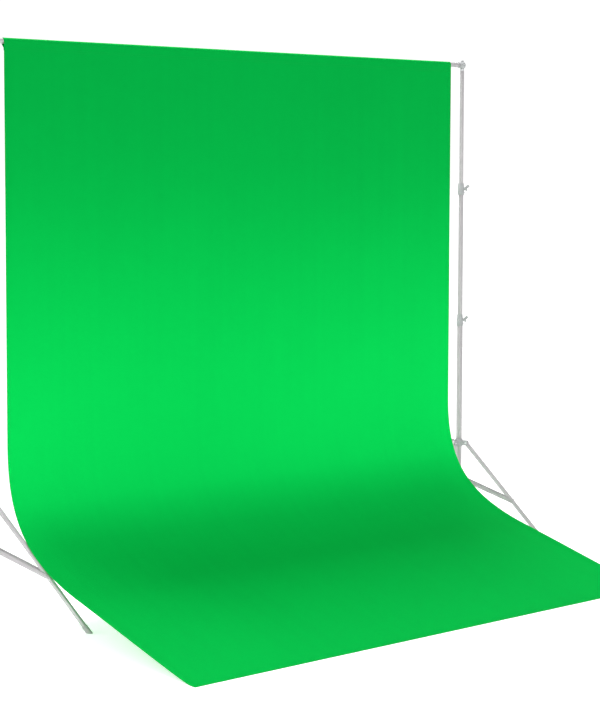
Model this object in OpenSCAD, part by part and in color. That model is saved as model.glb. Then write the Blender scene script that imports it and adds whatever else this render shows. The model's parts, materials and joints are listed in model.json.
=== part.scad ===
// Background support system: two folding telescopic stands carry a crossbar,
// and a cloth sheet hangs from the crossbar and sweeps forward onto the floor.
// Millimetres, +Z up, +X along the crossbar, the floor sweep runs towards -Y.

/* [Sheet] */
// Width of the sheet along the crossbar
sheet_w = 2743; // [2600:1:2800]
// Thickness of the cloth
sheet_t = 1; // [0.8:0.1:2]
// Height of the sheet's top edge above the floor
sheet_top = 2600; // [2500:1:2700]
// Distance from the hanging panel forward to the front edge
sheet_reach = 1400; // [1200:1:1600]
// Height at which the hanging panel starts to curve forward
sweep_start = 800; // [790:1:900]
// Share of the start height over which the curve stays steep
sweep_pull = 0.42; // [0.35:0.01:0.42]
// Distance from the panel to where the curve turns into a nearly straight run
run_reach = 580; // [560:1:600]
// Height at which the straight run starts
run_top = 190; // [190:1:220]
// Depth of the flat strip that lies on the floor at the front
floor_strip = 25; // [20:1:80]
// Distance from the crossbar's axis down to the pocket's seam
seam_drop = 30; // [28:1:40]

/* [Crossbar] */
// Outer diameter of the crossbar tubes
bar_d = 25; // [22:1:26]
// Wall of the crossbar tubes
bar_wall = 1.2; // [1:0.1:1.5]
// Length of the reduced spigot at each slip joint
spigot_len = 60; // [40:1:80]
// Distance from a sheet edge to the stand's axis
pole_gap = 98; // [98:1:130]

/* [Stand tubes] */
// Outer diameter of the lower tube
lower_d = 30; // [30:0.5:32]
// Outer diameter of the middle tube
middle_d = 26; // [25:0.5:26]
// Outer diameter of the top tube
top_d = 22; // [21:0.5:22]
// Wall of the three tubes
tube_wall = 1.2; // [1:0.1:1.4]
// Height of the lower end of the lower tube
tube_foot_z = 300; // [280:1:310]
// Height of the middle of the lower clamp
lower_clamp_z = 1210; // [1190:1:1230]
// Height of the middle of the upper clamp
upper_clamp_z = 1920; // [1900:1:1940]
// Height of the top of the top tube
top_tube_z = 2556; // [2550:1:2560]

/* [Clamps] */
// Height of a clamp body
clamp_h = 62; // [60:1:76]
// Radius of a clamp body at its widest
clamp_r = 18; // [18:0.5:20]
// Direction that the locking levers point to
lever_az = -40; // [-60:1:-20]

/* [Legs] */
// Height of the leg pivots
spider_z = 540; // [530:1:550]
// Height of the brace pivots
hub_z = 340; // [336:1:350]
// Radius at which the legs pivot
leg_pivot_r = 40; // [38:1:44]
// Radius at which the braces pivot
brace_pivot_r = 36; // [35:1:38]
// Radius of the circle that the leg axes meet the floor on
foot_r = 503; // [480:1:505]
// Outer diameter of a leg tube
leg_d = 22; // [21:0.5:22]
// Share of the leg's length above its brace joint
brace_share = 0.56; // [0.52:0.01:0.6]
// Width of a brace strap
strap_w = 20; // [18:1:22]
// Thickness of a brace strap
strap_t = 2.5; // [2:0.1:3]

/* [Hidden] */
$fn = 48;

// Directions of the three legs of each stand, about +Z from +X
leg_az = [-60, 60, 180];

// Clearances: a sliding or turning fit, and a gap between parts that never touch
run_gap = 0.05;
side_gap = 0.5;

// Leg geometry, in the vertical plane of a leg: x outward, z up
leg_run = foot_r - leg_pivot_r;
leg_len = sqrt(leg_run * leg_run + spider_z * spider_z);
leg_lean = atan2(leg_run, spider_z);
joint_x = leg_pivot_r + brace_share * leg_run;
joint_z = (1 - brace_share) * spider_z;
brace_len = sqrt(pow(joint_x - brace_pivot_r, 2) + pow(hub_z - joint_z, 2));
brace_droop = atan2(hub_z - joint_z, joint_x - brace_pivot_r);

// Rubber foot, and how far the feet of a stand reach out from its axis
boot_r = leg_d / 2 + 1.75;
boot_len = 38;
boot_sx = boot_r / cos(leg_lean);
reach_out = foot_r + boot_sx;
reach_x = foot_r * cos(60) + sqrt(pow(boot_sx * cos(60), 2) + pow(boot_r * sin(60), 2));
reach_y = foot_r * sin(60) + sqrt(pow(boot_sx * sin(60), 2) + pow(boot_r * cos(60), 2));

// Crossbar and cloth pocket
pocket_gap = 1.2;
pocket_r = bar_d / 2 + pocket_gap;
bar_z = sheet_top - sheet_t - pocket_r;
panel_y = -pocket_r;

// The origin is the centre of the whole object's footprint, on the floor
pole_x = sheet_w / 2 + pole_gap;
mid_x = (reach_out - reach_x) / 2;
pole_y = (sheet_reach - panel_y - reach_y) / 2;

// Colours
metal = [0.74, 0.75, 0.76];
metal_dark = [0.60, 0.61, 0.62];
plastic = [0.68, 0.70, 0.71];
rubber = [0.45, 0.46, 0.46];
cloth = [0.0, 0.72, 0.27];

// ---- Placing ----
module left_stand() { translate([mid_x - pole_x, pole_y, 0]) children(); }
module right_stand() { translate([mid_x + pole_x, pole_y, 0]) children(); }
// A part drawn in a leg's own plane, turned to leg number n of a stand
module at_leg(n) { rotate([0, 0, leg_az[n]]) children(); }
// A cylinder across a leg's plane, centred on it
module cross_pin(r, len) { rotate([90, 0, 0]) cylinder(r = r, h = len, center = true); }
// A plain tube from z0 to z1
module tube(d, wall, z0, z1) {
  translate([0, 0, z0]) difference() {
    cylinder(d = d, h = z1 - z0);
    translate([0, 0, -1]) cylinder(d = d - 2 * wall, h = z1 - z0 + 2);
  }
}

// ---- Sheet ----
// Two cubic curves shape the sweep: a bend out of the hanging panel, and a run to the floor.
// Each point is a distance along Y from the panel's rear face and a height
sweep_end = [-(sheet_reach - floor_strip), 0];
run_start = [-run_reach, run_top];
run_way = (sweep_end - run_start) / norm(sweep_end - run_start);
// How far each curve's handles reach along the run, and along the floor
bend_handle = 455;
run_handle = 300;
landing_handle = 50;
bend_curve = [[0, sweep_start], [0, sweep_start * (1 - sweep_pull)],
  run_start - bend_handle * run_way, run_start];
run_curve = [run_start, run_start + run_handle * run_way,
  sweep_end + [landing_handle, 0], sweep_end];
sweep_curves = [bend_curve, run_curve];
curve_steps = [20, 12];
function cubic(c, t) =
  pow(1 - t, 3) * c[0] + 3 * pow(1 - t, 2) * t * c[1] + 3 * (1 - t) * t * t * c[2] + t * t * t * c[3];
function cubic_slope(c, t) =
  pow(1 - t, 2) * (c[1] - c[0]) + 2 * (1 - t) * t * (c[2] - c[1]) + t * t * (c[3] - c[2]);
// Point number i of curve k, moved by the distance in towards the sheet's front face
function sweep_point(k, i, in) =
  let (c = sweep_curves[k], t = i / curve_steps[k], slope = cubic_slope(c, t))
  cubic(c, t) + in * [slope[1], -slope[0]] / norm(slope);

// The pocket goes round the crossbar and back to the seam on the panel's rear face.
// Where a line from the point p meets the circle of radius r round the crossbar
function tangent(p, r) = atan2(p[1], p[0]) + acos(r / norm(p));
pocket_steps = 24;
// The circle of radius r from the tangent out of p, over the crossbar, to the panel
function pocket_arc(p, r) =
  [for (i = [0:pocket_steps]) let (a0 = tangent(p, r), a = a0 + (180 - a0) * i / pocket_steps)
    [r * cos(a), bar_z + r * sin(a)]];

module sheet() {
  seam = [panel_y, -seam_drop];
  seam_inside = [panel_y, -seam_drop + 6 * sheet_t];
  shift = [panel_y, 0];
  color(cloth)
  translate([mid_x, pole_y, 0])
  rotate([90, 0, 90])
  linear_extrude(height = sheet_w, center = true)
  difference() {
    polygon(concat(
      pocket_arc(seam, pocket_r + sheet_t),
      [for (k = [0, 1]) for (i = [k:curve_steps[k]]) shift + sweep_point(k, i, sheet_t)],
      [shift + [-sheet_reach, sheet_t], shift + [-sheet_reach, 0]],
      [for (k = [1, 0]) for (i = [curve_steps[k]:-1:k]) shift + sweep_point(k, i, 0)],
      [[panel_y, bar_z - seam_drop]]));
    polygon(concat(pocket_arc(seam_inside, pocket_r), [[panel_y, bar_z + seam_inside[1]]]));
  }
}

// ---- Crossbar ----
// The tube ends sit this far from the stand's axis, inside the end fittings
bar_inset = 9;
bar_end_x = pole_x - bar_inset;
bar_piece = 2 * bar_end_x / 4;
module crossbar_tube(n) {
  x0 = -bar_end_x + (n - 1) * bar_piece;
  spigot_d = bar_d - 2 * bar_wall - 2 * run_gap;
  color(metal)
  translate([mid_x + x0, pole_y, bar_z])
  rotate([0, 90, 0]) {
    tube(bar_d, bar_wall, 0, bar_piece);
    if (n < 4) difference() {
      translate([0, 0, bar_piece - 2]) cylinder(d = spigot_d, h = spigot_len + 2);
      translate([0, 0, bar_piece - 3]) cylinder(d = spigot_d - 2 * bar_wall, h = spigot_len + 4);
    }
    if (n < 4) difference() {
      translate([0, 0, bar_piece - 4]) cylinder(d = bar_d - bar_wall, h = 4);
      translate([0, 0, bar_piece - 5]) cylinder(d = spigot_d - 2 * bar_wall, h = 6);
    }
  }
}
module crossbar_tube_1() { crossbar_tube(1); }
module crossbar_tube_2() { crossbar_tube(2); }
module crossbar_tube_3() { crossbar_tube(3); }
module crossbar_tube_4() { crossbar_tube(4); }

// End fitting: a ball that holds the crossbar and drops over the stud, flat at top and bottom
end_r = 19.5;
end_half = 17.5;
end_sleeve_r = 15;
end_sleeve_len = 26;
stud_r = 4.75;
stud_tip = 6.5;
end_base_z = bar_z - 1 - end_half;
end_top_z = bar_z - 1 + end_half;
// inward is +1 where the crossbar leaves towards +X, and -1 where it leaves towards -X
module bar_end(inward) {
  color(plastic)
  difference() {
    union() {
      translate([0, 0, bar_z - 1]) rotate_extrude() intersection() {
        circle(r = end_r);
        translate([0, -end_half]) square([end_r, 2 * end_half]);
      }
      translate([0, 0, bar_z]) rotate([0, inward * 90, 0]) cylinder(r = end_sleeve_r, h = end_sleeve_len);
    }
    translate([0, 0, bar_z]) rotate([0, inward * 90, 0])
      translate([0, 0, bar_inset]) cylinder(d = bar_d, h = 40);
    translate([0, 0, end_base_z - 1]) cylinder(r = stud_r + 0.1, h = 60);
  }
}

// Stud: a plug inside the top tube, a shoulder, and the threaded spigot
module top_stud() {
  color(metal)
  union() {
    translate([0, 0, top_tube_z - 30]) cylinder(d = top_d - 2 * tube_wall, h = 31);
    translate([0, 0, top_tube_z]) cylinder(d = top_d, h = end_base_z - top_tube_z);
    translate([0, 0, end_base_z - 1]) cylinder(r = stud_r, h = end_top_z - end_base_z + 1 + stud_tip);
  }
}

// Cap nut on the stud: a low body with finger flutes and a domed top
nut_r = 8.5;
nut_h = 6;
nut_dome = 3;
nut_gap = 0.3;
flute_r = 4;
module cap_nut() {
  color(plastic)
  translate([0, 0, end_top_z + nut_gap])
  difference() {
    union() {
      cylinder(r = nut_r, h = nut_h);
      translate([0, 0, nut_h]) cylinder(r1 = nut_r, r2 = nut_r - 3, h = nut_dome);
    }
    translate([0, 0, -1]) cylinder(r = stud_r + run_gap, h = nut_h + 2);
    for (a = [0:60:300]) rotate([0, 0, a])
      translate([nut_r + flute_r - 1.5, 0, 2]) cylinder(r = flute_r, h = 20);
  }
}

// ---- Telescopic tubes ----
inner_r = lower_d / 2 - tube_wall;
mid_inner_r = middle_d / 2 - tube_wall;
middle_z0 = lower_clamp_z - 100;
top_z0 = upper_clamp_z - 100;
glide_h = 40;
module lower_tube() { color(metal) tube(lower_d, tube_wall, tube_foot_z, lower_clamp_z - seat_drop); }
module middle_tube() { color(metal) tube(middle_d, tube_wall, middle_z0, upper_clamp_z - seat_drop); }
module top_tube() { color(metal) tube(top_d, tube_wall, top_z0, top_tube_z); }
// Plastic glide on the lower end of a moving tube, running in the next tube's bore
module glide(bore_r, tube_d, z0) {
  color(plastic)
  translate([0, 0, z0])
  difference() {
    cylinder(r = bore_r - run_gap, h = glide_h);
    translate([0, 0, 4]) cylinder(d = tube_d, h = glide_h);
    translate([0, 0, -1]) cylinder(d = tube_d - 6, h = 6);
  }
}
module middle_glide() { glide(inner_r, middle_d, middle_z0 - 4); }
module top_glide() { glide(mid_inner_r, top_d, top_z0 - 4); }
// Plug that closes the lower end of the lower tube
module tube_plug() {
  color(rubber) {
    translate([0, 0, tube_foot_z - 6]) cylinder(d = lower_d, h = 6);
    translate([0, 0, tube_foot_z - 1]) cylinder(r = inner_r, h = 16);
  }
}

// ---- Clamps ----
// Body that grips the wide tube below and lets the narrow tube slide through above.
// It flares gently towards its lower end, sits slightly away from the lever's side,
// and has a boss for the lever's screw.
clamp_shift = 0.8;
boss_z = 2;
boss_r = 7.5;
screw_r = 3;
boss_end = clamp_r + 1;
nub_z = -19;
nub_r = 5;
// The wide tube ends this far below the middle of the clamp
seat_drop = 6;
// A cylinder along the lever's direction, at a height above the clamp's middle
module lever_cylinder(z, r, h) {
  rotate([0, 0, lever_az]) translate([0, 0, z]) rotate([0, 90, 0]) cylinder(r = r, h = h);
}
module clamp(z, wide_d, narrow_d) {
  half = clamp_h / 2;
  color(plastic)
  translate([0, 0, z])
  difference() {
    union() {
      rotate([0, 0, lever_az]) translate([-clamp_shift, 0, 0]) rotate_extrude() polygon([
        [0, -half], [clamp_r - 1, -half], [clamp_r, -half + 14], [clamp_r, -half + 26],
        [clamp_r - 2.4, half - 14], [clamp_r - 3.5, half], [0, half]]);
      lever_cylinder(boss_z, boss_r, boss_end);
      lever_cylinder(nub_z, nub_r, boss_end);
    }
    translate([0, 0, -half - 1]) cylinder(d = wide_d, h = half + 1 - seat_drop);
    translate([0, 0, -clamp_h]) cylinder(r = narrow_d / 2 + run_gap, h = 2 * clamp_h);
    lever_cylinder(boss_z, screw_r + run_gap, 60);
  }
}
module lower_clamp() { clamp(lower_clamp_z, lower_d, middle_d); }
module upper_clamp() { clamp(upper_clamp_z, middle_d, top_d); }

// Locking lever: a screw, a hub and two ears, the long one up and out
lever_gap = 0.5;
lever_hub_r = 7;
lever_hub_len = 8;
long_ear = [13, 11, 23];
short_ear = [11, 10, 11];
// An ear leaves the hub's middle, at an angle from straight up
module lever_ear(x, z, angle, size) {
  translate([x, 0, z]) rotate([0, angle, 0])
    translate([-size[0] / 2, -size[1] / 2, 0]) cube(size);
}
module lever(z, narrow_d) {
  hub_x = boss_end + lever_gap;
  tip_x = narrow_d / 2 + lever_gap;
  color(plastic)
  rotate([0, 0, lever_az])
  translate([0, 0, z + boss_z]) {
    translate([tip_x, 0, 0]) rotate([0, 90, 0]) cylinder(r = screw_r, h = hub_x + 2 - tip_x);
    translate([hub_x, 0, 0]) rotate([0, 90, 0]) cylinder(r = lever_hub_r, h = lever_hub_len);
    lever_ear(hub_x + 5, 2, 45, long_ear);
    lever_ear(hub_x + 4.5, -2, 135, short_ear);
  }
}
module lower_lever() { lever(lower_clamp_z, middle_d); }
module upper_lever() { lever(upper_clamp_z, top_d); }

// ---- Leg spider ----
cheek_in = leg_d / 2 + side_gap;
cheek_t = 5;
spider_h = 36;
spider_core_r = 20;
knob_az = 120;
module spider() {
  color(plastic)
  translate([0, 0, spider_z])
  difference() {
    union() {
      translate([0, 0, -spider_h / 2 + 2]) cylinder(r = spider_core_r, h = spider_h);
      for (n = [0:2]) at_leg(n) for (s = [-1, 1]) {
        translate([0, s * (cheek_in + cheek_t / 2), 0]) {
          rotate([90, 0, 0]) translate([leg_pivot_r, 0, 0]) cylinder(r = 11, h = cheek_t, center = true);
          translate([leg_pivot_r / 2, 0, 0]) cube([leg_pivot_r, cheek_t, 22], center = true);
        }
      }
      rotate([0, 0, knob_az]) translate([0, 0, 6]) rotate([0, 90, 0]) cylinder(r = 8, h = 30);
    }
    translate([0, 0, -spider_h]) cylinder(r = lower_d / 2 + run_gap, h = 2 * spider_h);
    for (n = [0:2]) at_leg(n) translate([leg_pivot_r, 0, 0]) cross_pin(3, 60);
    for (n = [0:2]) at_leg(n) translate([leg_pivot_r - 16, -cheek_in, -40]) cube([60, 2 * cheek_in, 80]);
    rotate([0, 0, knob_az]) translate([0, 0, 6]) rotate([0, 90, 0]) cylinder(r = screw_r + run_gap, h = 60);
  }
}
// Knob whose screw presses on the lower tube
module spider_knob() {
  color(plastic)
  rotate([0, 0, knob_az])
  translate([0, 0, spider_z + 6])
  rotate([0, 90, 0])
  union() {
    translate([0, 0, lower_d / 2 + 0.5]) cylinder(r = screw_r, h = 20);
    difference() {
      translate([0, 0, 31]) cylinder(r = 13, h = 14);
      for (i = [0:7]) rotate([0, 0, i * 45]) translate([15.5, 0, 30]) cylinder(r = 4, h = 16);
    }
  }
}

// ---- Brace hub ----
ear_half = leg_d / 2;
module hub() {
  color(plastic)
  translate([0, 0, hub_z])
  difference() {
    union() {
      translate([0, 0, -20]) cylinder(r = 21, h = 36);
      for (n = [0:2]) at_leg(n) {
        translate([brace_pivot_r / 2, 0, 0]) cube([brace_pivot_r, 2 * ear_half, 18], center = true);
        translate([brace_pivot_r, 0, 0]) cross_pin(9, 2 * ear_half);
      }
    }
    translate([0, 0, -40]) cylinder(d = lower_d, h = 80);
    for (n = [0:2]) at_leg(n) translate([brace_pivot_r, 0, 0]) cross_pin(3, 60);
  }
}

// ---- Pins ----
// A plain pin with a head at each end
module headed_pin(len, head_r) {
  cross_pin(3, len + 2);
  for (s = [-1, 1]) translate([0, s * (len / 2 + 1), 0]) cross_pin(head_r, 2);
}
module pivot_pins() {
  color(metal_dark) translate([0, 0, spider_z]) for (n = [0:2]) at_leg(n)
    translate([leg_pivot_r, 0, 0]) headed_pin(2 * (cheek_in + cheek_t), 5.5);
}
strap_in = leg_d / 2 + side_gap;
module brace_pins() {
  color(metal_dark) translate([0, 0, hub_z]) for (n = [0:2]) at_leg(n)
    translate([brace_pivot_r, 0, 0]) headed_pin(2 * (strap_in + strap_t + side_gap), 5);
}

// ---- Legs, braces and feet ----
// A frame with its origin on the leg pivot and -Z running down the leg
module along_leg() { translate([leg_pivot_r, 0, spider_z]) rotate([0, -leg_lean, 0]) children(); }
leg_top = 9;
leg_end = 12;
module leg(n) {
  color(metal)
  at_leg(n) along_leg()
  difference() {
    translate([0, 0, -leg_len + leg_end]) cylinder(d = leg_d, h = leg_len - leg_end + leg_top);
    translate([0, 0, -leg_len]) cylinder(d = leg_d - 2.4, h = leg_len - 14);
    cross_pin(3 + run_gap, 60);
  }
}
// Two straps side by side, each with a rivet that ends just clear of the leg
module brace(n) {
  color(metal_dark)
  at_leg(n) translate([brace_pivot_r, 0, hub_z]) rotate([0, brace_droop, 0])
  for (s = [-1, 1]) {
    difference() {
      translate([0, s * (strap_in + strap_t / 2), 0]) union() {
        translate([brace_len / 2, 0, 0]) cube([brace_len, strap_t, strap_w], center = true);
        cross_pin(strap_w / 2, strap_t);
        translate([brace_len, 0, 0]) cross_pin(strap_w / 2, strap_t);
      }
      cross_pin(3 + run_gap, 60);
    }
    translate([brace_len, s * (strap_in + strap_t + 1), 0]) cross_pin(5, 2.2);
  }
}
// Rubber boot over the end of the leg, cut level with the floor
module foot(n) {
  color(rubber)
  at_leg(n)
  difference() {
    along_leg() translate([0, 0, -leg_len - 20]) cylinder(r = boot_r, h = boot_len + 20);
    along_leg() translate([0, 0, -leg_len + leg_end]) cylinder(d = leg_d, h = boot_len);
    translate([foot_r, 0, -50]) cube([200, 200, 100], center = true);
  }
}

module left_lower_tube() { left_stand() lower_tube(); }
module left_middle_tube() { left_stand() middle_tube(); }
module left_top_tube() { left_stand() top_tube(); }
module left_middle_glide() { left_stand() middle_glide(); }
module left_top_glide() { left_stand() top_glide(); }
module left_tube_plug() { left_stand() tube_plug(); }
module left_lower_clamp() { left_stand() lower_clamp(); }
module left_upper_clamp() { left_stand() upper_clamp(); }
module left_lower_lever() { left_stand() lower_lever(); }
module left_upper_lever() { left_stand() upper_lever(); }
module left_top_stud() { left_stand() top_stud(); }
module left_bar_end() { left_stand() bar_end(1); }
module left_cap_nut() { left_stand() cap_nut(); }
module left_spider() { left_stand() spider(); }
module left_spider_knob() { left_stand() spider_knob(); }
module left_hub() { left_stand() hub(); }
module left_pivot_pins() { left_stand() pivot_pins(); }
module left_brace_pins() { left_stand() brace_pins(); }
module left_leg_a() { left_stand() leg(0); }
module left_leg_b() { left_stand() leg(1); }
module left_leg_c() { left_stand() leg(2); }
module left_brace_a() { left_stand() brace(0); }
module left_brace_b() { left_stand() brace(1); }
module left_brace_c() { left_stand() brace(2); }
module left_foot_a() { left_stand() foot(0); }
module left_foot_b() { left_stand() foot(1); }
module left_foot_c() { left_stand() foot(2); }
module right_lower_tube() { right_stand() lower_tube(); }
module right_middle_tube() { right_stand() middle_tube(); }
module right_top_tube() { right_stand() top_tube(); }
module right_middle_glide() { right_stand() middle_glide(); }
module right_top_glide() { right_stand() top_glide(); }
module right_tube_plug() { right_stand() tube_plug(); }
module right_lower_clamp() { right_stand() lower_clamp(); }
module right_upper_clamp() { right_stand() upper_clamp(); }
module right_lower_lever() { right_stand() lower_lever(); }
module right_upper_lever() { right_stand() upper_lever(); }
module right_top_stud() { right_stand() top_stud(); }
module right_bar_end() { right_stand() bar_end(-1); }
module right_cap_nut() { right_stand() cap_nut(); }
module right_spider() { right_stand() spider(); }
module right_spider_knob() { right_stand() spider_knob(); }
module right_hub() { right_stand() hub(); }
module right_pivot_pins() { right_stand() pivot_pins(); }
module right_brace_pins() { right_stand() brace_pins(); }
module right_leg_a() { right_stand() leg(0); }
module right_leg_b() { right_stand() leg(1); }
module right_leg_c() { right_stand() leg(2); }
module right_brace_a() { right_stand() brace(0); }
module right_brace_b() { right_stand() brace(1); }
module right_brace_c() { right_stand() brace(2); }
module right_foot_a() { right_stand() foot(0); }
module right_foot_b() { right_stand() foot(1); }
module right_foot_c() { right_stand() foot(2); }

sheet();
crossbar_tube_1();
crossbar_tube_2();
crossbar_tube_3();
crossbar_tube_4();
left_lower_tube();
left_middle_tube();
left_top_tube();
left_middle_glide();
left_top_glide();
left_tube_plug();
left_lower_clamp();
left_upper_clamp();
left_lower_lever();
left_upper_lever();
left_top_stud();
left_bar_end();
left_cap_nut();
left_spider();
left_spider_knob();
left_hub();
left_leg_a();
left_leg_b();
left_leg_c();
left_brace_a();
left_brace_b();
left_brace_c();
left_foot_a();
left_foot_b();
left_foot_c();
left_pivot_pins();
right_lower_tube();
right_middle_tube();
right_top_tube();
right_middle_glide();
right_top_glide();
right_tube_plug();
right_lower_clamp();
right_upper_clamp();
right_lower_lever();
right_upper_lever();
right_top_stud();
right_bar_end();
right_cap_nut();
right_spider();
right_spider_knob();
right_hub();
right_leg_a();
right_leg_b();
right_leg_c();
right_brace_a();
right_brace_b();
right_brace_c();
right_foot_a();
right_foot_b();
right_foot_c();
right_pivot_pins();
left_brace_pins();
right_brace_pins();
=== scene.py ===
import json
import math

import bpy
import numpy as np
from mathutils import Matrix, Vector


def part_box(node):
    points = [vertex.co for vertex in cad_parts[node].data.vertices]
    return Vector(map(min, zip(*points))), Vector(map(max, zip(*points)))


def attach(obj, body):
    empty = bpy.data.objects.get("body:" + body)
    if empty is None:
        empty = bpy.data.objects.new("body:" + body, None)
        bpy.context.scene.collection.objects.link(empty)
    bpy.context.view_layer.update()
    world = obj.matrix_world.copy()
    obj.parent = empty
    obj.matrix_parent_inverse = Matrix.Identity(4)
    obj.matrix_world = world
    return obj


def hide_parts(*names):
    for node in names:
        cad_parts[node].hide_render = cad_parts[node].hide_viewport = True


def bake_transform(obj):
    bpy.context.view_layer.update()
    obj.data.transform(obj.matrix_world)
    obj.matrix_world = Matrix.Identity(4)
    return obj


# A green cloth hung on a crossbar between two light stands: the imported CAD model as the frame, with the
# cloth rebuilt as woven muslin, a finish on every part, and the studio round it.
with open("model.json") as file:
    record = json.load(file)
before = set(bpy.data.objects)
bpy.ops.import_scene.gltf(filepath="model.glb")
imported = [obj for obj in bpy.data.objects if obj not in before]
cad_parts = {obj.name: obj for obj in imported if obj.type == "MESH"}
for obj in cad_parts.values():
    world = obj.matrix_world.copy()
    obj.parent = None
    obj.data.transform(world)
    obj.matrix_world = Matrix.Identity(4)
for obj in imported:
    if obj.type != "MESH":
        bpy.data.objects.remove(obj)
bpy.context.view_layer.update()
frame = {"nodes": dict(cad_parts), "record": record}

# ---- Sizes, in metres, in the frame of the CAD model ----
sheet_lo, sheet_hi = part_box("sheet")
bar_lo, bar_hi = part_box("crossbar_tube_2")
BAR_Y = (bar_lo.y + bar_hi.y) / 2
BAR_Z = (bar_lo.z + bar_hi.z) / 2
MID_X = (sheet_lo.x + sheet_hi.x) / 2
CLOTH_T = 0.001                       # thickness of the CAD solid
WIDTH = sheet_hi.x - sheet_lo.x
POCKET_R = sheet_hi.y - BAR_Y - CLOTH_T
PANEL_Y = BAR_Y - POCKET_R            # rear face of the hanging part
REACH = PANEL_Y - sheet_lo.y          # how far the cloth comes forward on the floor

# The sweep's two curves, as in the CAD source
SWEEP_START = 0.800
SWEEP_PULL = 0.42
RUN_REACH = 0.580
RUN_TOP = 0.190
BEND_HANDLE = 0.455
RUN_HANDLE = 0.300
LANDING_HANDLE = 0.050
FLOOR_STRIP = 0.025
SEAM_DROP = 0.030
SEAM_ALLOWANCE = 0.012

# Hems and thread
FACE_T = 0.0009                       # thickness of one layer of cloth as it is shown
LAYER = 0.00095                       # one layer to the next
HEM = 0.020
HEM_EDGE = HEM + 0.001                # where the cloth starts to come down from its hem
HEM_SOFT = 0.008                      # and over what distance it does
HEM_STITCH = 0.016
SEAM_ROWS = (0.0005, 0.0085)          # stitch rows of the pocket, below its seam
STITCH_PITCH = 0.0036
STITCH_L = 0.0027
STITCH_W = 0.00062
STITCH_H = 0.00042
STITCH_FULL = 0.6                     # share of its length that a stitch is full width


def smooth(t):
    t = np.clip(t, 0.0, 1.0)
    return t * t * (3 - 2 * t)


# ---- The cloth's line, from the seam behind the bar over the top and down to the floor ----
def cloth_line():
    """Mid-surface points (y, z) about 1 mm apart, with the arc length of the named places."""
    r = POCKET_R + CLOTH_T / 2
    panel = PANEL_Y - CLOTH_T / 2
    back = panel + 2 * LAYER
    seam_z = BAR_Z - SEAM_DROP
    points, marks = [], {}

    def run(name, y, z):
        marks[name] = len(points)
        points.extend(zip(np.atleast_1d(y), np.atleast_1d(z)))

    # allowance, flat against the panel's rear, then out to the rear of the bar
    run("allowance", np.full(12, back), np.linspace(seam_z - SEAM_ALLOWANCE, seam_z - 0.001, 12))
    seam = Vector((back - BAR_Y, -SEAM_DROP))
    reach = math.asin(r / seam.length)
    toward = math.atan2(-seam.y, -seam.x) - reach
    touch = toward - math.pi / 2
    ty, tz = BAR_Y + r * math.cos(touch), BAR_Z + r * math.sin(touch)
    k = np.linspace(0, 1, 34)[:-1]
    run("seam", back + (ty - back) * k, seam_z + (tz - seam_z) * k)
    a = np.linspace(touch, math.pi, 60)[:-1]
    run("arc", BAR_Y + r * np.cos(a), BAR_Z + r * np.sin(a))
    run("panel", np.full(2000, panel), np.linspace(BAR_Z, SWEEP_START, 2001)[:-1])
    # the sweep: the two cubics of the rear face, moved half a thickness out along their normals
    half = CLOTH_T / 2
    end = np.array([-(REACH - FLOOR_STRIP), 0.0])
    turn = np.array([-RUN_REACH, RUN_TOP])
    way = (end - turn) / np.linalg.norm(end - turn)
    bend = [np.array([0.0, SWEEP_START]), np.array([0.0, SWEEP_START * (1 - SWEEP_PULL)]),
            turn - BEND_HANDLE * way, turn]
    ramp = [turn, turn + RUN_HANDLE * way, end + np.array([LANDING_HANDLE, 0.0]), end]
    for name, c, steps in (("sweep", bend, 1200), ("ramp", ramp, 800)):
        t = np.linspace(0, 1, steps + 1)[:-1, None]
        back_t = 1 - t
        at = back_t**3 * c[0] + 3 * back_t**2 * t * c[1] + 3 * back_t * t**2 * c[2] + t**3 * c[3]
        slope = back_t**2 * (c[1] - c[0]) + 2 * back_t * t * (c[2] - c[1]) + t**2 * (c[3] - c[2])
        slope /= np.linalg.norm(slope, axis=1)[:, None]
        run(name, PANEL_Y + at[:, 0] + half * slope[:, 1], at[:, 1] - half * slope[:, 0])
    strip = np.linspace(0, FLOOR_STRIP, 26)
    run("strip", PANEL_Y + end[0] - strip, np.full(26, half))
    p = np.array(points)
    s = np.concatenate([[0], np.cumsum(np.hypot(*np.diff(p, axis=0).T))])
    step = np.gradient(p, axis=0)
    step /= np.linalg.norm(step, axis=1)[:, None]
    normal = np.stack([step[:, 1], -step[:, 0]], axis=1)
    return p, s, normal, {name: s[i] for name, i in marks.items()}


LINE, LINE_S, LINE_N, AT = cloth_line()
RUN = LINE_S[-1]                      # length of the cloth, from its allowance to its front edge
POCKET_END = AT["panel"] + 0.06

# Where along the cloth each effect starts, and over what distance it comes in or goes
RIPPLES_START = (POCKET_END, 0.50)
RIPPLES_FADE = (AT["sweep"] + 0.55, 0.70)
FRONT_HEM_LIES = (AT["sweep"] + 0.75, 0.45)
SEAM_FOLDS_FADE = (AT["seam"], 0.020)

# Slow, shallow unevenness of hanging muslin: (height, waves across per metre, waves down per metre, phase)
RIPPLES = (
    (0.00055, 0.62, 0.10, 0.4),
    (0.00042, 1.35, -0.16, 2.1),
    (0.00026, 2.30, 0.22, 4.4),
    (0.00016, 3.70, 0.35, 1.2),
    (0.00022, 0.45, 0.80, 5.3),
)


def eased(s, start, over):
    return smooth((s - start) / over)


def near_side(u, inside=np.inf):
    """1 over the side hems, falling to 0 just inside them; inside is the distance from another hem."""
    return 1 - eased(np.minimum(np.minimum(u, WIDTH - u), inside), HEM_EDGE, HEM_SOFT)


def near_hem(u, s):
    """1 over the side and front hems, falling to 0 just inside them."""
    return near_side(u, np.maximum(RUN - s, 0))


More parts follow.
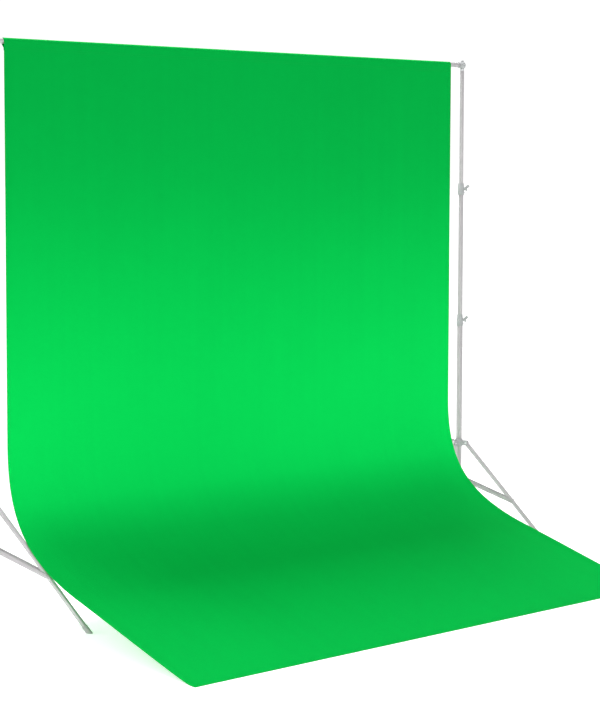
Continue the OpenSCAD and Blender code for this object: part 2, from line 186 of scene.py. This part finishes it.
def lift(u, s):
    """How far the cloth stands off its line.

    It has ripples where it hangs, a step over the hems on the floor, and folds at the pocket seam.
    """
    u, s = np.broadcast_arrays(np.asarray(u, float), np.asarray(s, float))
    hang = eased(s, *RIPPLES_START) * (1 - eased(s, *RIPPLES_FADE))
    wave = sum(h * np.sin(2 * math.pi * (fx * u + fy * s) + ph) for h, fx, fy, ph in RIPPLES)
    laid = eased(s, *FRONT_HEM_LIES)
    folds = 1 - eased(s, *SEAM_FOLDS_FADE)
    return hang * wave + laid * LAYER * near_hem(u, s) + folds * 2 * LAYER * near_side(u)


def place(u, s, off=0.0):
    """Points of the cloth at u across and s along it, off from its middle towards its front."""
    u, s = np.broadcast_arrays(np.asarray(u, float), np.asarray(s, float))
    y, z = (np.interp(s, LINE_S, LINE[:, i]) for i in (0, 1))
    ny, nz = (np.interp(s, LINE_S, LINE_N[:, i]) for i in (0, 1))
    d = off + lift(u, s)
    return np.stack([sheet_lo.x + u, y + ny * d, z + nz * d], axis=-1)


# ---- Mesh helpers ----
def make_mesh(name, verts, faces, material):
    mesh = bpy.data.meshes.new(name)
    mesh.from_pydata(np.asarray(verts).reshape(-1, 3).tolist(), [], [list(map(int, f)) for f in faces])
    mesh.polygons.foreach_set("use_smooth", [True] * len(mesh.polygons))
    mesh.materials.append(material)
    mesh.update()
    obj = bpy.data.objects.new(name, mesh)
    bpy.context.scene.collection.objects.link(obj)
    return obj


def grid_faces(rows, cols):
    i = np.arange(rows * cols).reshape(rows, cols)
    return np.stack([i[:-1, :-1], i[:-1, 1:], i[1:, 1:], i[1:, :-1]], axis=-1).reshape(-1, 4)


def cloth_piece(name, u, s, off, material):
    """A strip of cloth over the grids u, s and off, with its flat coordinates kept for the weave."""
    u, s, off = np.broadcast_arrays(u, s, off)
    verts = place(u, s, off)
    obj = make_mesh(name, verts, grid_faces(*u.shape), material)
    flat = np.stack([u, s, np.zeros_like(u)], axis=-1).reshape(-1)
    attribute = obj.data.attributes.new("cloth_m", "FLOAT_VECTOR", "POINT")
    attribute.data.foreach_set("vector", flat.astype(np.float32))
    layer = obj.modifiers.new("layer", "SOLIDIFY")
    layer.thickness = FACE_T
    layer.offset = 0.0
    layer.use_even_offset = False
    return obj


def spaced(a, b, step):
    """Even steps from a to b, none longer than step."""
    return np.linspace(a, b, max(2, int(math.ceil((b - a) / step)) + 1))


# ---- Materials ----
WORN_EDGE = 0.0008                    # radius of the rubbed edges
FLOOR_GLOW = 0.50                     # the floor is a white lit table


class Look:
    """A node material: each call adds a node and gives back its output socket."""

    def __init__(self, name, **shader):
        self.material = bpy.data.materials.new(name)
        self.material.use_nodes = True
        self.tree = self.material.node_tree
        self.shader = self.tree.nodes["Principled BSDF"]
        self.finish(**shader)

    def put(self, node, socket, value):
        target = node.inputs[socket]
        if isinstance(value, bpy.types.NodeSocket):
            self.tree.links.new(value, target)
        elif hasattr(value, "__len__") and len(value) == 3 and target.type == "RGBA":
            target.default_value = (*value, 1.0)
        else:
            target.default_value = value

    def add(self, kind, inputs=(), out=0, **settings):
        node = self.tree.nodes.new("ShaderNode" + kind)
        for key, value in settings.items():
            setattr(node, key, value)
        for socket, value in dict(inputs).items():
            self.put(node, socket, value)
        return node.outputs[out]

    def math(self, op, a, b=0.0, c=0.0):
        return self.add("Math", {0: a, 1: b, 2: c}, operation=op)

    def dot(self, vector, axis):
        return self.add("VectorMath", {0: vector, 1: tuple(axis)}, out="Value", operation="DOT_PRODUCT")

    def scale(self, vector, by):
        return self.add("VectorMath", {0: vector, 1: tuple(by)}, operation="MULTIPLY")

    def noise(self, vector, scale=1.0, detail=2.0, rough=0.5):
        inputs = {"Vector": vector, "Scale": scale, "Detail": detail, "Roughness": rough}
        return self.add("TexNoise", inputs, out="Fac")

    def step(self, value, lo, hi):
        """0 at lo to 1 at hi, eased at both ends."""
        return self.add("MapRange", {"Value": value, 1: lo, 2: hi}, interpolation_type="SMOOTHSTEP")

    def linear(self, value, lo, hi, to_lo, to_hi):
        return self.add("MapRange", {"Value": value, 1: lo, 2: hi, 3: to_lo, 4: to_hi})

    def vary(self, noise, to_lo, to_hi):
        """A noise's usual range stretched to the range from to_lo to to_hi."""
        return self.linear(noise, 0.3, 0.7, to_lo, to_hi)

    def blend(self, amount, a, b):
        node = self.tree.nodes.new("ShaderNodeMix")
        node.data_type = "RGBA"
        for key, value in ((0, amount), (6, a), (7, b)):
            self.put(node, key, value)
        return node.outputs[2]

    def bump(self, height, strength, distance):
        return self.add("Bump", {"Height": height, "Strength": strength, "Distance": distance})

    def object_coords(self):
        return self.add("TexCoord", out="Object")

    def along(self, direction):
        """Object coordinates, turned so that Z runs along direction."""
        d = Vector(direction).normalized()
        side = d.orthogonal().normalized()
        other = d.cross(side)
        p = self.object_coords()
        return self.add("CombineXYZ", {i: self.dot(p, axis) for i, axis in enumerate((side, other, d))})

    def edges(self):
        """1 along sharp edges: the rounded normal leaves the true one there."""
        rounded = self.add("Bevel", {"Radius": WORN_EDGE}, samples=4)
        true = self.add("NewGeometry", out="Normal")
        near = self.add("VectorMath", {0: rounded, 1: true}, out="Value", operation="DOT_PRODUCT")
        return self.step(near, 0.995, 0.90)

    def finish(self, **shader):
        """Sets the shader's sockets, named with _ for each space."""
        for socket, value in shader.items():
            self.put(self.shader, socket.replace("_", " ").replace("Ior", "IOR"), value)
        return self.material


def tint(color, by):
    return tuple(min(1.0, c * by) for c in color)


CLOTH_GREEN = (0.0007, 0.370, 0.0500)
YARN = 0.00042                        # yarn to yarn in the muslin


def muslin(name):
    look = Look(name, Roughness=0.95, Specular_Ior_Level=0.02, Sheen_Weight=0.06, Sheen_Roughness=0.6,
                Sheen_Tint=(0.0, 0.60, 0.10))
    flat = look.add("Attribute", out="Vector", attribute_name="cloth_m")
    # yarns wander a little, so the weave is never a perfect grid
    wander = look.add("TexNoise", {"Vector": flat, "Scale": 45.0, "Detail": 1.0}, out="Color")
    drift = look.add("VectorMath", {0: wander, 1: (0.5, 0.5, 0.5)}, operation="SUBTRACT")
    drift = look.scale(drift, (0.0012, 0.0012, 0.0))
    moved = look.add("VectorMath", {0: flat, 1: drift}, operation="ADD")
    cell = look.scale(moved, (1 / YARN, 1 / YARN, 0.0))
    sep = look.tree.nodes.new("ShaderNodeSeparateXYZ")
    look.tree.links.new(cell, sep.inputs[0])
    u, v = sep.outputs[0], sep.outputs[1]

    def yarn(across, along, shift):
        body = look.math("ABSOLUTE", look.math("SINE", look.math("MULTIPLY", across, math.pi)))
        parity = look.math("ADD", look.math("FLOOR", across), shift)
        over = look.math("COSINE", look.math("MULTIPLY", look.math("ADD", along, parity), math.pi))
        return look.math("MULTIPLY", body, look.math("MULTIPLY_ADD", over, 0.38, 0.62))

    weave = look.math("MAXIMUM", yarn(u, v, 0.0), yarn(v, u, 1.0))
    # thick and thin places along single yarns, both ways
    warp_slub = look.noise(look.scale(flat, (1 / YARN, 38.0, 0.0)), detail=1.0)
    weft_slub = look.noise(look.scale(flat, (38.0, 1 / YARN, 0.0)), detail=1.0)
    slub = look.math("MULTIPLY", look.math("ADD", warp_slub, weft_slub), 0.5)
    fuzz = look.noise(flat, scale=5200.0, detail=2.0)
    dye = look.noise(look.scale(flat, (1.1, 0.8, 0.0)), detail=4.0, rough=0.55)
    streak = look.noise(look.scale(flat, (26.0, 0.5, 0.0)), detail=3.0)
    tone = look.math("ADD", look.linear(weave, 0.0, 1.0, -0.16, 0.06), look.vary(slub, -0.07, 0.07))
    tone = look.math("ADD", tone, look.vary(dye, -0.018, 0.018))
    tone = look.math("ADD", tone, look.vary(streak, -0.012, 0.012))
    tone = look.math("ADD", tone, look.vary(fuzz, -0.03, 0.03))
    color = look.blend(look.math("ADD", tone, 0.5), tint(CLOTH_GREEN, 0.5), tint(CLOTH_GREEN, 1.5))
    height = look.math("ADD", weave, look.math("MULTIPLY_ADD", slub, 0.7, look.math("MULTIPLY", fuzz, 0.25)))
    return look.finish(Base_Color=color, Normal=look.bump(height, 0.45, 0.00012))


def thread(name, color):
    look = Look(name, Roughness=0.6, Specular_Ior_Level=0.2)
    p = look.object_coords()
    ply = look.add("TexWave", {"Vector": p, "Scale": 900.0, "Distortion": 1.5},
                   out="Fac", bands_direction="DIAGONAL")
    lint = look.noise(p, scale=700.0)
    shade = look.math("ADD", look.math("MULTIPLY", ply, 0.6), look.math("MULTIPLY", lint, 0.4))
    return look.finish(Base_Color=look.blend(shade, tint(color, 0.7), tint(color, 1.3)),
                       Normal=look.bump(ply, 0.5, 0.0001))


def drawn_metal(name, color, rough, direction, wear=0.0):
    """Satin anodised tube or strap: fine drawing lines along it, faint handling marks and rubbed streaks."""
    look = Look(name, Metallic=METALLIC)
    p = look.along(direction)
    lines = look.noise(look.scale(p, (1500.0, 1500.0, 7.0)), detail=2.0)
    bands = look.noise(look.scale(p, (260.0, 260.0, 1.2)), detail=3.0)
    rubbed = look.step(look.noise(look.scale(p, (420.0, 420.0, 4.5)), detail=4.0, rough=0.6), 0.60, 0.70)
    handled = look.noise(p, scale=9.0, detail=4.0, rough=0.6)
    grain = look.noise(p, scale=2600.0, detail=1.0)
    tone = look.math("ADD", look.vary(lines, -0.05, 0.05), look.vary(bands, -0.035, 0.035))
    tone = look.math("ADD", tone, look.vary(handled, 0.025, -0.03))
    tone = look.math("ADD", tone, look.math("MULTIPLY", rubbed, 0.06))
    if wear:
        tone = look.math("ADD", tone, look.math("MULTIPLY", look.edges(), wear))
    base = look.blend(look.math("ADD", tone, 0.5), tint(color, 0.5), tint(color, 1.5))
    r = look.math("ADD", look.vary(handled, rough - 0.05, rough + 0.07), look.vary(lines, -0.04, 0.04))
    r = look.math("SUBTRACT", r, look.math("MULTIPLY", rubbed, 0.10))
    height = look.math("ADD", lines, look.math("MULTIPLY", grain, 0.4))
    height = look.math("SUBTRACT", height, look.math("MULTIPLY", rubbed, 0.8))
    return look.finish(Base_Color=base, Roughness=r, Normal=look.bump(height, 0.30, 0.00003))


def moulded(name, color, rough=0.5, grain=1100.0, depth=0.00005, scuff=0.06, specular=0.4):
    """Moulded plastic or nylon: spark-eroded grain, slight colour variation, pale scuffs and rubbed edges."""
    look = Look(name, Specular_Ior_Level=specular)
    p = look.object_coords()
    fine = look.noise(p, scale=grain, detail=2.0, rough=0.6)
    cells = look.add("TexVoronoi", {"Vector": p, "Scale": grain * 0.7}, out="Distance")
    cloud = look.noise(p, scale=28.0, detail=3.0)
    marks = look.step(look.noise(look.scale(p, (190.0, 240.0, 70.0)), detail=4.0, rough=0.65), 0.64, 0.74)
    tone = look.math("ADD", look.vary(cloud, -0.05, 0.05), look.vary(fine, -0.05, 0.05))
    tone = look.math("ADD", tone, look.math("MULTIPLY", marks, scuff))
    tone = look.math("ADD", tone, look.math("MULTIPLY", look.edges(), 0.10))
    base = look.blend(look.math("ADD", tone, 0.5), tint(color, 0.5), tint(color, 1.5))
    r = look.math("ADD", look.vary(cloud, rough - 0.06, rough + 0.06), look.math("MULTIPLY", marks, 0.12))
    height = look.math("ADD", fine, look.math("MULTIPLY", cells, 0.5))
    return look.finish(Base_Color=base, Roughness=r, Normal=look.bump(height, 0.35, depth))


def gum(name, color):
    """Matte rubber with a fine open grain and floor dust low on it."""
    look = Look(name, Specular_Ior_Level=0.25)
    p = look.object_coords()
    fine = look.noise(p, scale=1700.0, detail=3.0, rough=0.65)
    cloud = look.noise(p, scale=60.0, detail=4.0)
    z = look.dot(p, (0, 0, 1))
    dust = look.math("MULTIPLY", look.step(z, 0.030, 0.0), look.step(cloud, 0.35, 0.65))
    base = look.blend(look.vary(fine, 0.35, 0.65), tint(color, 0.8), tint(color, 1.2))
    base = look.blend(look.math("MULTIPLY", dust, 0.35), base, (0.42, 0.41, 0.39))
    r = look.vary(cloud, 0.78, 0.92)
    return look.finish(Base_Color=base, Roughness=r, Normal=look.bump(fine, 0.5, 0.00008))


def plated(name, color, rough=0.28):
    """Zinc-plated steel: soft mottling and fine turning marks."""
    look = Look(name, Metallic=1.0)
    p = look.object_coords()
    mottle = look.noise(p, scale=160.0, detail=4.0, rough=0.6)
    turned = look.noise(look.scale(p, (300.0, 300.0, 3800.0)), detail=1.0)
    base = look.blend(look.vary(mottle, 0.3, 0.7), tint(color, 0.82), tint(color, 1.15))
    r = look.math("ADD", look.vary(mottle, rough - 0.06, rough + 0.10), look.vary(turned, -0.04, 0.04))
    return look.finish(Base_Color=base, Roughness=r, Normal=look.bump(turned, 0.25, 0.00003))


def paper(name, color):
    """The studio floor: matte, with a faint fibre."""
    look = Look(name, Specular_Ior_Level=0.05)
    p = look.object_coords()
    fibre = look.noise(p, scale=240.0, detail=3.0)
    cloud = look.noise(p, scale=0.7, detail=2.0)
    tone = look.math("MULTIPLY", look.math("ADD", fibre, cloud), 0.5)
    base = look.blend(tone, tint(color, 0.985), color)
    return look.finish(Base_Color=base, Roughness=0.9, Normal=look.bump(fibre, 0.1, 0.0001),
                       Emission_Color=(1.0, 1.0, 1.0), Emission_Strength=FLOOR_GLOW)


METAL = (0.415, 0.400, 0.410)
LEG_METAL = (0.435, 0.420, 0.430)
STRAP_METAL = (0.395, 0.380, 0.390)
METALLIC = 0.45                       # satin anodising scatters most of the light
TUBE_ROUGH, STRAP_ROUGH = 0.46, 0.50
STRAP_WEAR = 0.25                     # how much paler the straps' cut edges are

CLOTH = muslin("muslin_green")
THREAD = thread("thread_green", (0.0009, 0.30, 0.040))
BY_SLOT = {
    "tube_metal": drawn_metal("satin_tube", METAL, TUBE_ROUGH, (0, 0, 1)),
    "crossbar_metal": drawn_metal("satin_crossbar", METAL, TUBE_ROUGH, (1, 0, 0)),
    "steel": plated("plated_steel", (0.55, 0.56, 0.57)),
    "grey_plastic": moulded("grey_plastic", (0.355, 0.365, 0.37)),
    "glide_plastic": moulded("pale_nylon", (0.66, 0.66, 0.62), rough=0.38, grain=700.0,
                             depth=0.00002, scuff=0.02, specular=0.5),
    "rubber": gum("grey_rubber", (0.33, 0.335, 0.33)),
}

# ---- The CAD nodes: finishes, smooth shading and small edge radii ----
SLOT_OF = {part["node"]: part["material_slot"] for part in frame["record"]["subparts"]}
LEAN_LOOKS = {}


def main_axis(obj):
    """Direction that the node is longest in."""
    co = np.array([v.co for v in obj.data.vertices])
    axis = np.linalg.svd(co - co.mean(0), full_matrices=False)[2][0]
    return tuple(axis * (1 if axis[2] >= 0 else -1))


def leaning_look(node, obj, slot):
    """The metal of a leg or brace, its drawing lines along it; both stands' legs lean the same ways."""
    kind = node.split("_", 1)[1]
    if kind not in LEAN_LOOKS:
        strap = slot == "brace_metal"
        LEAN_LOOKS[kind] = drawn_metal(
            "satin_" + kind, STRAP_METAL if strap else LEG_METAL, STRAP_ROUGH if strap else TUBE_ROUGH,
            main_axis(obj), wear=STRAP_WEAR if strap else 0.0)
    return LEAN_LOOKS[kind]


EDGE = {"grey_plastic": 0.0007, "rubber": 0.0010, "glide_plastic": 0.0003, "brace_metal": 0.0004}
OTHER_EDGE = 0.00025
WELD = 0.00001
SHARP = math.radians(32)
for node, obj in frame["nodes"].items():
    slot = SLOT_OF[node]
    look = BY_SLOT.get(slot) or (None if slot == "cloth" else leaning_look(node, obj, slot))
    if look is None:
        continue
    obj.data.materials.clear()
    obj.data.materials.append(look)
    weld = obj.modifiers.new("weld", "WELD")
    weld.merge_threshold = WELD
    bevel = obj.modifiers.new("edge", "BEVEL")
    bevel.width = EDGE.get(slot, OTHER_EDGE)
    bevel.segments = 2
    bevel.limit_method = "ANGLE"
    bevel.angle_limit = SHARP
    bevel.miter_outer = "MITER_ARC"
    bevel.harden_normals = True
    obj.data.polygons.foreach_set("use_smooth", [True] * len(obj.data.polygons))
    obj.data.set_sharp_from_angle(angle=SHARP)

# ---- The cloth ----
# Grid lines across: 7 mm apart over the side hems, closer where the cloth comes down from them
beside_hem = np.array([0, 0.007, 0.014, HEM + 0.005, HEM + 0.009])
across = np.sort(np.concatenate([beside_hem, WIDTH - beside_hem,
                                 spaced(HEM_EDGE, WIDTH - HEM_EDGE, 0.0135)]))
# and down: from the seam over the bar, the hanging panel, and the sweep to the front hem
down = np.concatenate([
    spaced(0, AT["seam"], 0.004),
    spaced(AT["seam"], AT["panel"], 0.0024)[1:],
    spaced(AT["panel"], POCKET_END, 0.006)[1:],
    spaced(POCKET_END, AT["sweep"], 0.0140)[1:],
    spaced(AT["sweep"], RUN - 0.030, 0.0095)[1:],
    RUN - np.array([0.026, 0.021, 0.014, 0.007, 0])])
sheet = cloth_piece("background_sheet", across[None, :], down[:, None], 0.0, CLOTH)

# Side and front hems: the cloth's edge turned to the rear, with a round fold
inset, layers = np.array([(HEM, 1.0), (0.015, 1.0), (0.009, 1.0), (0.004, 1.0),
                          (0.0010, 0.99), (0.0003, 0.85), (0.0, 0.5), (0.0002, 0.18)]).T
depth = -LAYER * layers
hem_left = cloth_piece("hem_left", inset[None, :], down[:, None], depth[None, :], CLOTH)
hem_right = cloth_piece("hem_right", (WIDTH - inset)[None, ::-1], down[:, None], depth[None, ::-1], CLOTH)
inner = across[(across > HEM) & (across < WIDTH - HEM)]
hem_front = cloth_piece("hem_front", inner[None, :], (RUN - inset)[:, None], depth[:, None], CLOTH)


# Rows of stitches, each one small and pointed at its ends, on both faces
def stitches(u, s, off):
    """Vertices and faces of a row through the points u, s, on the face that off says."""
    u, s = np.broadcast_arrays(np.asarray(u, float), np.asarray(s, float))
    centre = place(u, s, off)
    ahead, proud = 1e-4, 1e-5             # small moves along the row and off the cloth
    along = place(u + (u[-1] != u[0]) * ahead, s + (s[-1] != s[0]) * ahead, off) - centre
    along /= np.linalg.norm(along, axis=1)[:, None]
    out = place(u, s, off + proud) - centre
    out /= np.linalg.norm(out, axis=1)[:, None]
    side = np.cross(along, out)
    tip, w, h = STITCH_L / 2, STITCH_W / 2, STITCH_H / 2
    waist = [(-w, 0), (0, h), (w, 0), (0, -h)]
    shape = ([(-tip, 0, 0)] + [(-tip * STITCH_FULL, *p) for p in waist]
             + [(tip * STITCH_FULL, *p) for p in waist] + [(tip, 0, 0)])
    ring = [(1, 2), (2, 3), (3, 4), (4, 1)]
    quads = [(a, b, b + 4, a + 4) for a, b in ring]
    caps = [(0, b, a) for a, b in ring] + [(9, a + 4, b + 4) for a, b in ring]
    verts = np.concatenate([centre[:, None] + a * along[:, None] + b * side[:, None] + c * out[:, None]
                            for a, b, c in shape], axis=1)
    return verts, quads + caps


def stitch_piece(name, rows):
    verts, faces, base = [], [], 0
    for u, s, off in rows:
        stitch_verts, stitch_faces = stitches(u, s, off)
        count, each = stitch_verts.shape[:2]
        verts.append(stitch_verts.reshape(-1, 3))
        for i in range(count):
            faces.extend([[base + each * i + k for k in face] for face in stitch_faces])
        base += each * count
    return make_mesh(name, np.concatenate(verts), faces, THREAD)


FRONT = FACE_T / 2 + 0.00004          # the thread's middle, just off the cloth's faces
REAR_HEM = -LAYER - FRONT
side_s = spaced(AT["panel"] + 0.055, RUN - HEM_STITCH, STITCH_PITCH)
front_u = spaced(HEM_STITCH, WIDTH - HEM_STITCH, STITCH_PITCH)
seam_u = spaced(0.004, WIDTH - 0.004, STITCH_PITCH)
pocket_side_s = spaced(AT["seam"] + 0.002, AT["panel"] + 0.022, STITCH_PITCH)
rows = []
for u in (HEM_STITCH, WIDTH - HEM_STITCH):
    rows += [(u, side_s, FRONT), (u, side_s, REAR_HEM), (u, pocket_side_s, FRONT)]
rows += [(front_u, RUN - HEM_STITCH, FRONT), (front_u, RUN - HEM_STITCH, REAR_HEM)]
for below in SEAM_ROWS:
    rows += [(seam_u, AT["panel"] + SEAM_DROP + below, FRONT), (seam_u, AT["seam"] - below, FRONT)]
thread_rows = stitch_piece("stitching", rows)

# The sheet, its side hems and the stitching have their places baked in; the front hem goes on the root body
for piece in (sheet, hem_left, hem_right, thread_rows):
    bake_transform(piece)
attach(hem_front, "root")
CLOTH_PIECES = [sheet, hem_left, hem_right, hem_front, thread_rows]
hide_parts("sheet")

# ---- Floor, light and camera ----
FLOOR_HALF = 600.0
FLOOR_Z = -0.0002
square = ((-1, -1), (1, -1), (1, 1), (-1, 1))
floor = make_mesh("floor", [(x * FLOOR_HALF, y * FLOOR_HALF, 0) for x, y in square],
                  [(0, 1, 2, 3)], paper("pale_floor", (0.93, 0.93, 0.93)))
floor.location.z = FLOOR_Z

SKY_SIDES, SKY_TOP = 1.08, 0.76       # brightness of the studio round the sides and overhead
SKY_FROM, SKY_TO = 0.15, 0.95         # sines of the elevations between which it changes

world = bpy.data.worlds.new("studio")
bpy.context.scene.world = world
world.use_nodes = True
sky = world.node_tree
direction = sky.nodes.new("ShaderNodeTexCoord").outputs["Generated"]
height = sky.nodes.new("ShaderNodeSeparateXYZ")
fade = sky.nodes.new("ShaderNodeMapRange")
fade.interpolation_type = "SMOOTHSTEP"
for socket, value in ((1, SKY_FROM), (2, SKY_TO), (3, SKY_SIDES), (4, SKY_TOP)):
    fade.inputs[socket].default_value = value
sky.links.new(direction, height.inputs[0])
sky.links.new(height.outputs[2], fade.inputs[0])
sky.links.new(fade.outputs[0], sky.nodes["Background"].inputs["Strength"])
sky.nodes["Background"].inputs["Color"].default_value = (1.0, 1.0, 1.0, 1.0)
bpy.context.scene.view_settings.view_transform = "Standard"


def softbox(name, at, towards, size, power, spread):
    data = bpy.data.lights.new(name, "AREA")
    data.shape = "RECTANGLE"
    data.size, data.size_y = size
    data.energy = power
    data.spread = math.radians(spread)
    light = bpy.data.objects.new(name, data)
    bpy.context.scene.collection.objects.link(light)
    light.location = at
    light.rotation_euler = (Vector(towards) - Vector(at)).to_track_quat("-Z", "Y").to_euler()
    light.visible_camera = False
    return light


def only_on(light, pieces):
    """Keeps the light off all but these pieces."""
    group = bpy.data.collections.new(light.name + "_reach")
    for piece in pieces:
        group.objects.link(piece)
    light.light_linking.receiver_collection = group


STAND_PIECES = [obj for node, obj in frame["nodes"].items() if SLOT_OF[node] != "cloth"]


def here(x, forward, z):
    """A place in the studio: x from the middle of the cloth, forward from its panel, z from the floor."""
    return (MID_X + x, PANEL_Y - forward, z)


KEY_FORWARD = 6.0                     # how far in front of the panel the key lights stand
key_front = softbox("key_front", here(0, KEY_FORWARD, 0.20), here(0, 0, 0.95), (6.4, 0.15), 15.5, 28.0)
key_open = softbox("key_open", here(0, KEY_FORWARD, 0.20), here(0, 0, 0.55), (6.4, 0.15), 15.0, 28.0)
fill_front = softbox("fill_front", here(0, KEY_FORWARD, 0.30), here(0, 0, 1.70), (6.0, 0.4), 1.0, 60.0)
rear_top = softbox("rear_top", here(0, -1.1, 5.0), here(0, 1.2, 0.0), (5.0, 1.2), 44.0, 90.0)
rear_left = softbox("rear_left", here(-4.2, -2.6, 3.2), here(-2.0, 0.6, 0.0), (2.5, 2.5), 18.0, 70.0)
stand_fill = softbox("stand_fill", here(-5.5, 5.5, 1.1), here(0, 0, 0.9), (4.0, 2.0), 42.0, 120.0)
low_left = softbox("low_left", here(-3.4, 1.6, 0.5), here(-1.3, 0.3, 0.1), (1.2, 0.7), 2.0, 120.0)
for light in (key_front, key_open, fill_front):
    only_on(light, CLOTH_PIECES)
only_on(stand_fill, STAND_PIECES)
only_on(low_left, STAND_PIECES + [floor])

# A flag in front of key_front: a card that the camera does not see. Its top edge, folded back, cuts the
# beam off the foot of the cloth. The other lights pass it.
FLAG_FORWARD = 3.3                    # in front of the panel
FLAG_TOP = 0.306
FLAG_HALF = 5.0
FLAG_FOLD = 0.02
flag = make_mesh("flag", [here(side * FLAG_HALF, FLAG_FORWARD - back, z)
                          for back, z in ((0, 0.0), (0, FLAG_TOP), (FLAG_FOLD, FLAG_TOP - FLAG_FOLD))
                          for side in (-1, 1)],
                 [(0, 1, 3, 2), (2, 3, 5, 4)], paper("flag_card", (0.9, 0.9, 0.9)))
for ray in ("camera", "diffuse", "glossy", "transmission", "volume_scatter"):
    setattr(flag, "visible_" + ray, False)
flag_stays_out = bpy.data.collections.new("flag_stays_out")
for piece in CLOTH_PIECES + STAND_PIECES:
    flag_stays_out.objects.link(piece)
for light in (key_open, fill_front, rear_top, rear_left, stand_fill, low_left):
    light.light_linking.blocker_collection = flag_stays_out

CAMERA_AT = Vector((MID_X - 5.628, BAR_Y - 7.153, 2.026))
CAMERA_LENS = 92.74                   # mm, on a 36 mm sensor
CAMERA_SHIFT = -0.0833                # the photo's frame sits below the camera's axis
CAMERA_YAW = math.radians(39.83)
CAMERA_DOWN = math.radians(4.04)
CAMERA_ROLL = math.radians(0.15)
lens = bpy.data.cameras.new("camera")
lens.sensor_width = 36.0
lens.lens = CAMERA_LENS
lens.shift_y = CAMERA_SHIFT
lens.clip_end = 200.0
camera = bpy.data.objects.new("camera", lens)
bpy.context.scene.collection.objects.link(camera)
turn = Matrix.Rotation(-CAMERA_YAW, 4, "Z") @ Matrix.Rotation(math.pi / 2 - CAMERA_DOWN, 4, "X")
camera.matrix_world = Matrix.Translation(CAMERA_AT) @ turn @ Matrix.Rotation(CAMERA_ROLL, 4, "Z")
bpy.context.scene.camera = camera
